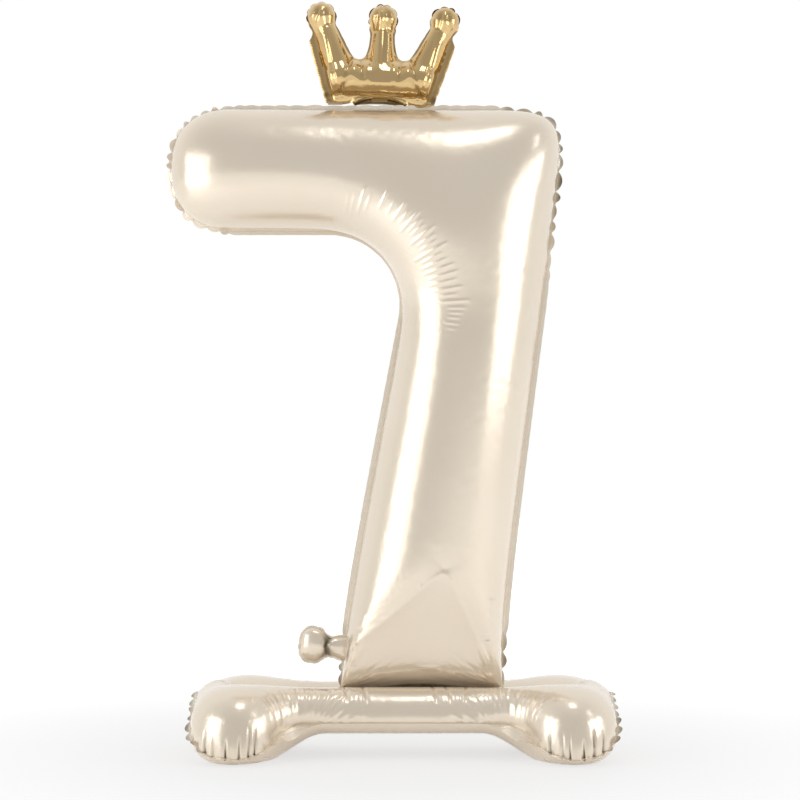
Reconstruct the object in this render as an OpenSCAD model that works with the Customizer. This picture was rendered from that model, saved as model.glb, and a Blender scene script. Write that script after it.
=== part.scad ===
// Standing foil number balloon: an inflated figure seven with a crown on its top edge, held upright in
// the valley of a four-footed base. Three air chambers, each of two foil panels sealed at the edge.
// Millimetres, +Z up, the front faces -Y, the floor is z = 0.

/* [Foil] */
// Wall of each foil panel
foil_t = 0.6; // [0.4:0.1:1]
// Width of the sealed border outside the seams of the number and the base
seam_w = 6; // [4:0.5:9]

/* [Number] */
// Height of the number from its bottom seam to its top seam
number_h = 655; // [560:5:760]
// Sideways place of the number's foot, from the middle of the base
foot_x = 20; // [0:1:40]
// Reach of the bar from the middle of the foot to its left tip
bar_reach = 282; // [240:1:320]
// Height of the bar, seam to seam
bar_h = 136; // [110:1:160]
// Depth of the bar, front to back
bar_depth = 114; // [90:1:130]
// Depth at the corner between bar and stem
corner_depth = 144; // [120:1:160]
// Depth of the stem
stem_depth = 130; // [100:1:150]
// Width of the stem at the bottom seam
foot_w = 178; // [150:1:200]
// Width of the stem just under the bar
stem_top_w = 152; // [130:1:175]
// Lean of the stem
stem_lean = 9.2; // [6:0.1:12]
// Height over which the stem turns upright above its foot
foot_turn = 70; // [40:1:90]
// Height over which the stem's end narrows to its bottom seam
foot_blunt = 84; // [72:1:96]
// How far the middle of the bottom seam is drawn up
foot_rise = 5; // [3:0.5:6]
// Radius of the inner corner between bar and stem
inner_r = 85; // [60:1:100]
// Sharpness of the outer corner
corner_sharp = 10; // [6:1:14]
// Squareness of the bar's left end
end_square = 2.3; // [2:0.1:3]

/* [Tail] */
// Height of the inflation tail
tail_h = 36; // [30:1:42]
// Length of the tail
tail_len = 36; // [32:1:46]
// Depth of the tail
tail_depth = 22; // [16:1:26]
// Height of the tail's neck
neck_h = 25; // [20:1:28]
// Height of the tail above the number's bottom seam
tail_rise = 50; // [40:1:80]
// Sealed border round the tail
tail_seam_w = 2.5; // [1.5:0.5:4]
// Room between the tail's fold line and the number's border
fold_room = 0.75; // [0.7:0.05:0.9]

/* [Valves] */
// Thickness of each valve film
film_t = 0.3; // [0.2:0.05:0.4]
// Width of a valve
valve_w = 18; // [14:1:22]
// Length of the number's valve inside the stem
number_valve_len = 90; // [50:1:110]
// Length of the crown's valve above its mouth
crown_valve_len = 26; // [18:1:32]
// Length of the base's valve inside the rear hump
base_valve_len = 26; // [16:1:32]
// Length of the base valve's mouth outside the border
mouth_len = 10; // [6:1:14]
// Radius of the inlet for the inflation straw
straw_r = 3.2; // [2.5:0.1:4]
// Wall of the inlet sleeve
sleeve_t = 0.5; // [0.4:0.1:0.8]
// Length of the inlet sleeve
sleeve_len = 24; // [18:1:28]
// Room round valve films and the sleeve
valve_room = 0.05; // [0.02:0.01:0.1]

/* [Crown] */
// Sideways place of the crown on the bar, from the middle of the number's foot
crown_x = -47; // [-80:1:-10]
// Turn of the crown as it sits
crown_lean = 2.5; // [0:0.5:4]
// Distance between the two outer balls
ball_span = 140; // [120:1:160]
// Height of the balls' centres above the crown's corners
ball_z = 96; // [85:1:110]
// Radius of the balls
ball_r = 16.5; // [14:0.5:18]
// Radius of a prong at its neck
prong_neck_r = 11.5; // [9:0.5:13]
// Radius of a prong at its root
prong_root_r = 17; // [15:0.5:18]
// Distance between the roots of the outer prongs
root_span = 84; // [76:1:92]
// Height of the band's middle line
band_z = 28; // [25:1:32]
// Radius of the band
band_r = 20.5; // [18:0.5:22]
// Distance between the crown's bottom corners
corner_span = 100; // [90:1:110]
// Sealed border of the crown
crown_seam_w = 3.5; // [2.5:0.5:5]
// Sealed border on the crown's two sides
side_seam_w = 11; // [7:0.5:13]

/* [Base] */
// Length of the base with its border
base_len = 474; // [430:1:520]
// Distance from the middle line to the seam at the toes
toe_reach = 112; // [100:1:125]
// Radius of the lobes
lobe_r = 48; // [40:1:52]
// Distance from the middle line to the seam along the bar
bar_reach_y = 58; // [50:1:66]
// Radius of the inner corners between lobes and bar
waist_r = 40; // [28:1:46]
// Height of the seam at the two ends
end_z = 70; // [62:1:78]
// Height of the seam at the toes
toe_z = 16; // [13:1:20]
// Height of the weld along the middle
spine_z = 58; // [50:1:64]
// Length of the weld along the middle
spine_len = 348; // [300:1:370]
// Width of the weld along the middle
spine_w = 8; // [5:1:12]
// Swell of the upper panel along the bar
bar_swell = 21; // [16:1:22]
// Swell of the upper panel at the lobes
lobe_swell = 40; // [30:1:46]
// Swell of the lower panel along the bar
bar_under = 24; // [18:1:28]
// How far the floor flattens the swell of the feet
foot_press = 6; // [4:0.5:9]

/* [Tacks] */
// Radius of the tack beads
tack_r = 1.5; // [1:0.1:2]
// Length of a tack bead
tack_len = 16; // [10:1:24]
// Gap between a bead and what turns on it
tack_gap = 0.3; // [0.2:0.05:0.4]

/* [Hidden] */
ivory = [0.87, 0.83, 0.76];
gold = [0.80, 0.62, 0.33];
film = [0.90, 0.92, 0.93];
glue = [0.93, 0.92, 0.88];

// Stations along each half of an outline and rings from the seam to the middle
cap_n = 7;
bar_n = 4;
corner_n = 13;
stem_n = 10;
foot_n = 5;
lobe_n = 10;
waist_n = 5;
base_end_n = 3;
tail_cap_n = 6;
tail_side_n = 5;
neck_steps = [0.6, 0.3, 0];
ring_angles = [10, 24, 40, 56, 72, 86];
hump_angles = [0, 14, 34, 54, 76, 102, 130, 156, 180];
$fn = 48;

// How evenly the stations spread round the corner and down the stem
corner_even = 0.4;
stem_ease = 1.3;

// Curve of the base's seam from its ends down to the toes
droop = 1.1;

// How far the rooms for the valves reach inside the seams
room_reach = 4 * foil_t;

// The number's tacks sit one station in from each end of its bottom seam, where its border is lowest
tack_at = 1 / foot_n;
function foot_lift(t) = foot_rise * (1 - pow(1 - t, 2));

// Heights, stacked up from the floor
rock_z = spine_z + foil_t + tack_r;
number_z = rock_z + tack_r + tack_gap + seam_w - foot_lift(tack_at);
top_z = number_z + number_h;
nod_z = top_z + seam_w + tack_r;

// Crown: bottom of the band, and the ears that run down to its corners
crown_mouth_z = band_z - band_r;
ear_r = 0.8 * band_r;
ear_tip_r = 2 * foil_t;
knuckle_r = prong_root_r + 1;
ear_end = 6;

// Swell of the lower panel at the lobes, deep enough for the feet to stand on the floor
lobe_under = sqrt(pow((spine_z + toe_z) / 2 - foil_t + foot_press, 2)
    - pow((spine_z - toe_z) / 2, 2));

// Sideways shift that puts the middle of the whole outline at x = 0
shift_x = -(foot_x - bar_reach - seam_w + base_len / 2) / 2;

function mix(a, b, t) = a + (b - a) * t;
function ease(t) = let(c = min(1, max(0, t))) c * c * (3 - 2 * c);
function unit(v) = v / norm(v);

// Outward direction at each point of a closed loop that runs clockwise
function outward(loop) = [for (i = [0:len(loop) - 1])
    let(n = len(loop), d = unit(loop[(i + 1) % n] - loop[(i + n - 1) % n])) [-d[1], d[0]]];

// The loop that goes along one rail and back along the other; both rails share their two end points
function there_and_back(rail, back) = concat(rail, [for (i = [len(back) - 2:-1:1]) back[i]]);

// Foil panel between an outer and an inner skin, each a list of closed rings from the border to the middle
module panel(outer, inner) {
    n = len(outer[0]);
    half = n / 2;
    far = len(outer) * n;
    last = len(outer) - 1;
    function strip(a, b) = [for (i = [0:n - 1]) let(j = (i + 1) % n)
        each [[a + i, a + j, b + j], [a + i, b + j, b + i]]];
    function lid(a) = concat([[a, a + 1, a + n - 1]], [for (i = [1:half - 2])
        each [[a + i, a + i + 1, a + n - 1 - i], [a + i, a + n - 1 - i, a + n - i]]],
        [[a + half - 1, a + half, a + half + 1]]);
    function flip(faces) = [for (f = faces) [f[2], f[1], f[0]]];
    skin = concat([for (k = [0:last - 1]) each strip(k * n, (k + 1) * n)], lid(last * n));
    lining = flip(concat([for (k = [0:last - 1]) each strip(far + k * n, far + (k + 1) * n)],
        lid(far + last * n)));
    polyhedron(concat([for (r = outer) each r], [for (r = inner) each r]),
        concat(skin, lining, strip(far, 0)));
}

// Front half of an upright pillow: outline, middle line, half depths and border widths at each loop point;
// wedge is 0 where the swell is round at the seam and 1 where the panels meet at an angle
module pillow_front(edge, middle, depth, border, wedge) {
    n = len(edge);
    dir = outward(edge);
    inset = [for (i = [0:n - 1]) edge[i] + unit(middle[i] - edge[i]) * foil_t];
    rim = [for (i = [0:n - 1]) edge[i] + dir[i] * border[i]];
    function flat(pts, y) = [for (p = pts) [p[0], y, p[1]]];
    function ring(pts, a, y) = [for (i = [0:n - 1])
        let(p = mix(middle[i], pts[i], cos(a)), swell = mix(sin(a), pow(sin(a), 2), wedge[i]))
        [p[0], y - depth[i] * swell, p[1]]];
    panel(
        concat([flat(rim, -foil_t), flat(edge, -foil_t)], [for (a = ring_angles) ring(edge, a, -foil_t)]),
        concat([flat(rim, 0), flat(inset, 0)], [for (a = ring_angles) ring(inset, a, 0)]));
}

// Number: the outline of the figure in the seam plane, as points of x and z
bar_r = bar_h / 2;
bar_mid_z = top_z - bar_r;
bar_end_x = foot_x - bar_reach + bar_r;
fan_z = top_z - bar_h - inner_r;
fan_d = fan_z - number_z;
lean_t = tan(stem_lean);
taper_t = (foot_w - stem_top_w) / 2 / fan_d;
left_a = atan(lean_t + taper_t);
right_a = atan(lean_t - taper_t);

function stem_mid(d) = foot_x + lean_t * (d - foot_turn * (1 - exp(-d / foot_turn)));
function stem_half(d) = mix(foot_w, stem_top_w, d / fan_d) / 2;
function stem_pt(side, d) = [stem_mid(d) + side * stem_half(d), number_z + d];

fan_x = stem_pt(-1, fan_d)[0] - inner_r / cos(left_a);
fan = [fan_x, fan_z];
right_reach = (stem_pt(1, fan_d)[0] - fan_x) * cos(right_a);
function fan_dir(a) = [cos(a), sin(a)];
// Angle of a station in the corner, with the stations closer together where the outer corner turns
function fan_angle(i) = let(u = 2 * i / corner_n - 1)
    mix(90, -left_a, (1 + mix(pow(u, 3), u, corner_even)) / 2);
function fan_out(a) = let(up = max(0, sin(a)) / (top_z - fan_z),
    side = max(0, cos(a + right_a)) / right_reach)
    pow(pow(up, corner_sharp) + pow(side, corner_sharp), -1 / corner_sharp);

inner_end = fan + inner_r * fan_dir(-left_a);
outer_end = fan + fan_out(-left_a) * fan_dir(-left_a);

function end_pt(side, a) = [bar_end_x - bar_r * pow(cos(a), 2 / end_square),
    bar_mid_z + side * bar_r * pow(sin(a), 2 / end_square)];
function foot_pt(side, t) = [foot_x + side * foot_w / 2 * (1 - t), number_z + foot_lift(t)];

function number_rail(side) = concat(
    [for (i = [0:cap_n]) end_pt(side, 90 * i / cap_n)],
    [for (i = [1:bar_n]) [mix(bar_end_x, fan_x, i / bar_n), bar_mid_z + side * bar_r]],
    [for (i = [1:corner_n]) let(a = fan_angle(i)) fan + fan_dir(a) * (side > 0 ? fan_out(a) : inner_r)],
    [for (i = [1:stem_n]) let(t = 1 - pow(1 - i / stem_n, stem_ease), top = side > 0 ? outer_end : inner_end)
        stem_pt(side, (top[1] - number_z) * (1 - t))],
    [for (i = [1:foot_n]) foot_pt(side, i / foot_n)]);

number_top = number_rail(1);
number_under = number_rail(-1);
stations = len(number_top);
foot_start = stations - foot_n;
corner_start = cap_n + 1 + bar_n;
corner_stop = corner_start + corner_n;

// Middle line and half depth of the number at each station
number_mid = [for (i = [0:stations - 1]) let(m = (number_top[i] + number_under[i]) / 2,
    low = number_z + foot_blunt)
    i <= cap_n ? [bar_end_x, bar_mid_z] : m[1] > low ? m : [stem_mid(foot_blunt), low]];
number_half = [for (i = [0:stations - 1]) let(t = (i - corner_start + 1) / corner_n)
    i < corner_start ? bar_depth / 2 : i >= corner_stop ? stem_depth / 2 :
    (mix(bar_depth, stem_depth, ease(t))
        + (corner_depth - (bar_depth + stem_depth) / 2) * pow(sin(180 * t), 2)) / 2];

number_edge = there_and_back(number_top, number_under);
number_wedge = [for (p = number_edge) ease(1 - (p[1] - number_z) / foot_blunt)];

// Tail: placed on the stem's left border, turned to its slope, with its fold line at local x = 0
tail_seam_x = stem_pt(-1, tail_rise);
tail_a = atan((stem_pt(-1, tail_rise + tail_h / 2)[0] - stem_pt(-1, tail_rise - tail_h / 2)[0]) / tail_h);
module at_tail() {
    translate([tail_seam_x[0], 0, tail_seam_x[1]]) rotate([0, tail_a, 0])
        translate([-seam_w - fold_room, 0, 0]) children();
}

tail_fold_gap = 0.15;
neck_seam_w = tail_seam_w / 5;
tail_neck_x = -tail_fold_gap - neck_seam_w;
tail_tip_x = -tail_len + tail_seam_w;
tail_half_h = tail_h / 2 - tail_seam_w;
tail_round = 0.8 * tail_half_h;
neck_half = neck_h / 2 - tail_seam_w;
neck_bow = 1;
function tail_rail(side) = concat(
    [for (i = [0:tail_cap_n]) let(a = 90 * i / tail_cap_n)
        [tail_tip_x + tail_round * (1 - cos(a)), side * tail_half_h * sqrt(sin(a))]],
    [for (i = [1:tail_side_n]) let(t = i / tail_side_n)
        [mix(tail_tip_x + tail_round, tail_neck_x - neck_bow, t),
            side * mix(tail_half_h, neck_half, ease(t))]],
    [for (t = neck_steps) [tail_neck_x - neck_bow * t * t, side * neck_half * t]]);
tail_edge = there_and_back(tail_rail(1), tail_rail(-1));
// The two ends of the tail's middle line, as shares of its length
tail_mid_start = mix(tail_tip_x, tail_neck_x, 0.42);
tail_mid_stop = mix(tail_tip_x, tail_neck_x, 0.72);
tail_mid = [for (p = tail_edge) [min(tail_mid_stop, max(tail_mid_start, p[0])), 0]];
tail_border = [for (p = tail_edge) p[0] >= tail_neck_x - neck_bow ? neck_seam_w : tail_seam_w];

module shifted() { translate([shift_x, 0, 0]) children(); }
module behind() { mirror([0, 1, 0]) children(); }

// Room for the number's valve between the two borders
module number_valve_room() {
    at_tail() translate([0, -film_t - valve_room, -valve_w / 2 - valve_room])
        cube([seam_w + fold_room + room_reach, 2 * (film_t + valve_room), valve_w + 2 * valve_room]);
}

module number_panel() {
    difference() {
        pillow_front(number_edge, there_and_back(number_mid, number_mid),
            there_and_back(number_half, number_half), [for (p = number_edge) seam_w], number_wedge);
        number_valve_room();
    }
}

module number_front_foil() { color(ivory) shifted() number_panel(); }
module number_back_foil() { color(ivory) shifted() behind() number_panel(); }

module number_valve_film(y) {
    shifted() at_tail() translate([fold_room, y, -valve_w / 2]) cube([number_valve_len, film_t, valve_w]);
}
module number_valve_front_film() { color(film) number_valve_film(-film_t); }
module number_valve_back_film() { color(film) number_valve_film(0); }

module sleeve_bar(r, x0, x1) {
    translate([x0, 0, 0]) rotate([0, 90, 0]) cylinder(r = r, h = x1 - x0);
}

module tail_panel() {
    difference() {
        pillow_front(tail_edge, tail_mid, [for (p = tail_edge) tail_depth / 2], tail_border,
            [for (p = tail_edge) 0]);
        sleeve_bar(straw_r + sleeve_t + valve_room, -2 * tail_len, -tail_len + sleeve_len);
    }
}
module tail_front_foil() { color(ivory) shifted() at_tail() tail_panel(); }
module tail_back_foil() { color(ivory) shifted() at_tail() behind() tail_panel(); }
module tail_inlet_sleeve() {
    color(film) shifted() at_tail() difference() {
        sleeve_bar(straw_r + sleeve_t, -tail_len, -tail_len + sleeve_len);
        sleeve_bar(straw_r, -tail_len - 1, -tail_len + sleeve_len + 1);
    }
}

// Beads of clear glue, lying along the line that a piece can rock on
module beads(span) {
    for (s = [-1, 1]) translate([s * span / 2 - tack_len / 2, 0, 0]) rotate([0, 90, 0])
        cylinder(r = tack_r, h = tack_len);
}
module number_tacks() {
    color(glue) shifted() translate([foot_x, 0, rock_z]) beads(foot_w * (1 - tack_at));
}

// Crown: limbs of round section, all in the seam plane, grown by e
module at_crown() { translate([foot_x + crown_x, 0, nod_z]) children(); }

function prong_tip(s) = [s * ball_span / 2, 0, ball_z];
function prong_root(s) = [s * root_span / 2, 0, band_z];
function crown_corner(s) = [s * corner_span / 2, 0, 0];

module limb(a, b, r1, r2) {
    d = b - a;
    translate(a) rotate([0, atan2(d[0], d[2]), 0]) cylinder(h = norm(d), r1 = r1, r2 = r2);
}

module crown_limbs(e) {
    for (s = [-1, 0, 1]) {
        limb(prong_root(s), prong_tip(s), prong_root_r + e, prong_neck_r + e);
        translate(prong_tip(s)) sphere(r = ball_r + e);
    }
    for (s = [-1, 1]) {
        limb(crown_corner(s) - [0, 0, ear_end * e], prong_root(s), ear_tip_r + e, ear_r + e);
        limb(prong_root(0), prong_root(s), band_r + e, ear_r + e);
        translate(prong_root(s)) sphere(r = knuckle_r + e);
    }
}

// The same limbs as flat shapes, for the sealed border
module limb_flat(a, b, r1, r2) {
    p = [a[0], a[2]];
    q = [b[0], b[2]];
    d = unit(q - p);
    n = [-d[1], d[0]];
    polygon([p + n * r1, q + n * r2, q - n * r2, p - n * r1]);
}

module crown_border() {
    rotate([90, 0, 0]) linear_extrude(foil_t) {
        for (s = [-1, 0, 1]) {
            limb_flat(prong_root(s), prong_tip(s), prong_root_r + crown_seam_w, prong_neck_r + crown_seam_w);
            translate([prong_tip(s)[0], ball_z]) circle(r = ball_r + crown_seam_w / 2);
        }
        for (s = [-1, 1]) limb_flat(crown_corner(s), prong_tip(s), side_seam_w + ear_tip_r, prong_neck_r);
        limb_flat([-root_span / 2, 0, band_z], [root_span / 2, 0, band_z],
            band_r + crown_seam_w, band_r + crown_seam_w);
    }
}

module crown_valve_room() {
    translate([-valve_w / 2 - valve_room, -film_t - valve_room, 0])
        cube([valve_w + 2 * valve_room, 2 * (film_t + valve_room), crown_mouth_z + room_reach]);
}

module crown_panel() {
    difference() {
        intersection() {
            rotate([0, crown_lean, 0]) {
                crown_limbs(0);
                crown_border();
            }
            translate([-ball_span, -ball_span, tack_r + tack_gap])
                cube([2 * ball_span, ball_span, 2 * ball_z]);
        }
        rotate([0, crown_lean, 0]) crown_limbs(-foil_t);
        crown_valve_room();
    }
}

module crown_front_foil() { color(gold) shifted() at_crown() crown_panel(); }
module crown_back_foil() { color(gold) shifted() at_crown() behind() crown_panel(); }

module crown_valve_film(y) {
    shifted() at_crown() translate([-valve_w / 2, y, tack_r + tack_gap])
        cube([valve_w, film_t, crown_mouth_z + crown_valve_len - tack_r - tack_gap]);
}
module crown_valve_front_film() { color(film) crown_valve_film(-film_t); }
module crown_valve_back_film() { color(film) crown_valve_film(0); }

module crown_tacks() { color(glue) shifted() at_crown() beads(corner_span); }

// Base: a quarter of the seam's outline from the end to the middle of the bar, as points of x and y
base_end = base_len / 2 - seam_w;
lobe_x = base_end - lobe_r;
lobe_y = toe_reach - lobe_r;
waist_y = bar_reach_y + waist_r;
waist_x = lobe_x - sqrt(pow(lobe_r + waist_r, 2) - pow(waist_y - lobe_y, 2));
waist_a = atan2(waist_y - lobe_y, lobe_x - waist_x);
base_quarter = concat(
    [for (i = [0:base_end_n - 1]) [base_end, lobe_y * i / base_end_n]],
    [for (i = [0:lobe_n]) let(a = (180 - waist_a) * i / lobe_n) [lobe_x, lobe_y] + lobe_r * [cos(a), sin(a)]],
    [for (i = [1:waist_n]) let(a = mix(-waist_a, -90, i / waist_n))
        [waist_x, waist_y] + waist_r * [cos(a), sin(a)]],
    [for (i = [1:bar_n]) [waist_x * (1 - i / bar_n), bar_reach_y]]);

function base_rail(side) = concat(
    [for (p = base_quarter) [-p[0], side * p[1]]],
    [for (i = [len(base_quarter) - 2:-1:0]) [base_quarter[i][0], side * base_quarter[i][1]]]);
base_loop = there_and_back(base_rail(1), base_rail(-1));
function base_seam_z(y) = end_z - (end_z - toe_z) * pow(abs(y) / toe_reach, droop);

// One ring of a base panel: from the seam at angle 0 over the hump to the weld at angle 180
function base_ring(a, in, rise, floor_z) = [for (p = base_loop)
    let(m = [min(spine_len / 2, max(-spine_len / 2, p[0])), 0],
        reach = norm(p - m),
        share = (reach - bar_reach_y) / (toe_reach - bar_reach_y),
        t = (1 + cos(a)) / 2,
        q = m + unit(p - m) * mix(spine_w / 2, reach - in, t),
        line_z = mix(spine_z, base_seam_z(p[1]), t))
    [q[0], q[1], max(floor_z, line_z + sin(a) * mix(rise[0], rise[1], share) + rise[2])]];
function base_rim(lift) = let(dir = outward(base_loop)) [for (i = [0:len(base_loop) - 1])
    let(q = base_loop[i] + dir[i] * seam_w) [q[0], q[1], base_seam_z(base_loop[i][1]) + lift]];
function base_skin(lift, in, rise, floor_z) = concat([base_rim(lift)],
    [for (a = hump_angles) base_ring(a, in, concat(rise, lift), floor_z)]);

module base_valve_room() {
    translate([-valve_w / 2 - valve_room, bar_reach_y - room_reach,
        base_seam_z(bar_reach_y) - film_t - valve_room])
        cube([valve_w + 2 * valve_room, 2 * seam_w, 2 * (film_t + valve_room)]);
}

module base_top_foil() {
    rise = [bar_swell, lobe_swell];
    color(ivory) shifted() difference() {
        panel(base_skin(foil_t, 0, rise, 0), base_skin(0, foil_t, rise, 0));
        base_valve_room();
    }
}

module base_bottom_foil() {
    rise = [-bar_under, -lobe_under];
    color(ivory) shifted() difference() {
        panel(base_skin(0, foil_t, rise, foil_t), base_skin(-foil_t, 0, rise, 0));
        base_valve_room();
    }
}

module base_valve_film(z) {
    shifted() translate([-valve_w / 2, bar_reach_y - base_valve_len, base_seam_z(bar_reach_y) + z])
        cube([valve_w, base_valve_len + seam_w + mouth_len, film_t]);
}
module base_valve_upper_film() { color(film) base_valve_film(0); }
module base_valve_lower_film() { color(film) base_valve_film(-film_t); }

base_top_foil();
base_bottom_foil();
base_valve_upper_film();
base_valve_lower_film();
number_tacks();
number_front_foil();
number_back_foil();
number_valve_front_film();
number_valve_back_film();
crown_tacks();
tail_front_foil();
tail_back_foil();
tail_inlet_sleeve();
crown_front_foil();
crown_back_foil();
crown_valve_front_film();
crown_valve_back_film();
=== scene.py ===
import math

import bpy
import numpy as np
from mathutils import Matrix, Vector
from mathutils.geometry import delaunay_2d_cdt


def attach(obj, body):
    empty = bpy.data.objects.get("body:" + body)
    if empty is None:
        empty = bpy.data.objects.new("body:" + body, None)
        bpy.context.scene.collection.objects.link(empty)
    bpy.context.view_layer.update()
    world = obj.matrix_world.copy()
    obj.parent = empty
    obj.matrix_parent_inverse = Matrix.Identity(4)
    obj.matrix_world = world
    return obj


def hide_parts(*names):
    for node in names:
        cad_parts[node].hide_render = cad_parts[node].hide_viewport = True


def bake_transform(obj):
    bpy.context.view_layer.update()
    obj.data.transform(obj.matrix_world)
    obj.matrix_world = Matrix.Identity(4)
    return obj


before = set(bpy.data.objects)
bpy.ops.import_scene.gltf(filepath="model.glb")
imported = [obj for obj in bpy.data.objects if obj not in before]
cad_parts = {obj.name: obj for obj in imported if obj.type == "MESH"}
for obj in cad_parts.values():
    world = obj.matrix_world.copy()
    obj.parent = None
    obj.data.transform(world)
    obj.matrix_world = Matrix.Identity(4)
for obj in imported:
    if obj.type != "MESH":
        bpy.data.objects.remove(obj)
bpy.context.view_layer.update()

bpy.ops.object.select_all(action="DESELECT")


# Base: two sheets of ivory metallised film cut to the same dog-bone outline, heat-sealed round the edge
# and welded to each other along the middle. Blown up, it makes two humps with a valley between them for
# the number, and its corners turn down into feet.
base_middle = 0.0155
base_half_len = 0.231
toe_reach, lobe_r = 0.112, 0.048
bar_reach, waist_r = 0.058, 0.040
end_z, toe_z, weld_z, droop = 0.068, 0.008, 0.058, 1.15
weld_half_len, weld_half_w = 0.190, 0.004
seam_w, web_w, web_drop = 0.006, 0.005, 0.013
bar_top_z, lobe_top_z, bar_under_z, lobe_under_z = 0.076, 0.081, 0.026, -0.007
# The flat cut runs base_ease outside the seam. Its triangles are finer at the edge, the toes and the folds
base_ease, seam_step, panel_step, edge_step, edge_w = 0.026, 0.0026, 0.005, 0.0036, 0.016
toe_step, fold_step, waist_step = 0.0019, 0.0014, 0.0016
bow_ratio, seam_grip = 0.69, 0.55


def mix(a, b, t):
    return a + (b - a) * t


def ease(t):
    t = np.clip(t, 0.0, 1.0)
    return t * t * (3 - 2 * t)


def outward(loop):
    # Outward direction at each point of a clockwise loop
    ahead = np.roll(loop[:, :2], -1, 0) - np.roll(loop[:, :2], 1, 0)
    ahead /= np.linalg.norm(ahead, axis=1)[:, None]
    return np.stack([-ahead[:, 1], ahead[:, 0]], 1)


def walk(cut_line, step, *partners):
    # Points at even steps round a closed line, and the matching points of its partner lines
    leg = np.linalg.norm(np.roll(cut_line, -1, 0) - cut_line, axis=1)
    so_far = np.concatenate([[0], np.cumsum(leg)])
    count = int(round(so_far[-1] / step))
    at = np.arange(count) * so_far[-1] / count
    lines = [np.vstack([line, line[:1]]) for line in (cut_line,) + partners]
    return [np.stack([np.interp(at, so_far, part) for part in line.T], 1) for line in lines]


def within(points, loop):
    # Which points lie inside a closed line
    hit = np.zeros(len(points), bool)
    for (ax, ay), (bx, by) in zip(loop, np.roll(loop, 1, 0)):
        crosses = (ay > points[:, 1]) != (by > points[:, 1])
        hit ^= crosses & (points[:, 0] < (bx - ax) * (points[:, 1] - ay) / (by - ay + 1e-15) + ax)
    return hit


def gap_to(points, line):
    # How far each point is from the nearest point of a line
    gap = np.full(len(points), 9.0)
    for x, y in line:
        gap = np.minimum(gap, np.hypot(points[:, 0] - x, points[:, 1] - y))
    return gap


def cut_panel(cut_line, step, finer=(), weld=None):
    # One flat panel as even triangles, smaller in the finer zones; the points of the cut line come first,
    # then those of a weld
    lines = [cut_line] if weld is None else [cut_line, weld]
    low, high = cut_line.min(0), cut_line.max(0)
    zones = [(step, lambda p: np.ones(len(p), bool))] + list(finer)
    dots = np.empty((0, 2))
    for pitch, zone in zones:
        rows, cols = ((high - low)[::-1] / (pitch * 0.866, pitch)).astype(int) + 2
        grid = np.array([(low[0] + (c + r % 2 / 2) * pitch, low[1] + r * pitch * 0.866)
                         for r in range(rows) for c in range(cols)])
        grid += np.random.default_rng(7).uniform(-0.12, 0.12, grid.shape) * pitch
        grid = grid[within(grid, cut_line) & zone(grid)]
        dots = np.vstack([dots[~zone(dots)], grid])
    grid = dots
    for line in lines:
        grid = grid[gap_to(grid, line) > 0.7 * np.linalg.norm(line[1] - line[0])]
    edges, first = [], 0
    for line in lines:
        edges += [(first + i, first + (i + 1) % len(line)) for i in range(len(line))]
        first += len(line)
    cut = delaunay_2d_cdt([Vector(p) for p in np.vstack(lines + [grid])], edges, [], 1, 1e-7)
    points, faces = np.array([v[:] for v in cut[0]]), np.array([f[:] for f in cut[2]])
    a, b, c = (points[faces[:, k]] for k in range(3))
    turned = (b[:, 0] - a[:, 0]) * (c[:, 1] - a[:, 1]) < (b[:, 1] - a[:, 1]) * (c[:, 0] - a[:, 0])
    faces[turned] = faces[turned][:, [0, 2, 1]]
    return points, faces


def twice_area(u, v):
    return u[:, 0] * v[:, 1] - u[:, 1] * v[:, 0]


def gather(each, faces, count):
    # At each point, the sum of the values of the faces round it
    return np.bincount(faces.ravel(), np.repeat(each, 3), count)


def settle(points, faces, held, values, load):
    # Values at the held points spread evenly over a panel (load 0), or a height blown up between them
    count, starts, ends, pulls = len(points), [], [], []
    for k in range(3):
        a, b, c = (faces[:, (k + s) % 3] for s in range(3))
        u, v = points[a] - points[c], points[b] - points[c]
        pull = 0.5 * (u * v).sum(1) / np.abs(twice_area(u, v))
        starts += [a, b]
        ends += [b, a]
        pulls += [pull, pull]
    starts, ends, pulls = (np.concatenate(x) for x in (starts, ends, pulls))
    total = np.bincount(starts, pulls, count)
    u, v = points[faces[:, 1]] - points[faces[:, 0]], points[faces[:, 2]] - points[faces[:, 0]]
    push = load * gather(np.abs(twice_area(u, v)) / 6, faces, count)
    result = np.where(held[:, None], values, 0.0)
    for column in result.T:
        left = np.where(held, 0, push - total * column + np.bincount(starts, pulls * column[ends], count))
        way = left / total
        size = left @ way
        for _ in range(900):
            drag = np.where(held, 0, total * way - np.bincount(starts, pulls * way[ends], count))
            share = size / (way @ drag + 1e-30)
            column += share * way
            left -= share * drag
            if np.abs(left).max() < 1e-11:
                break
            size, last = left @ (left / total), size
            way = left / total + size / last * way
    return result


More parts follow.
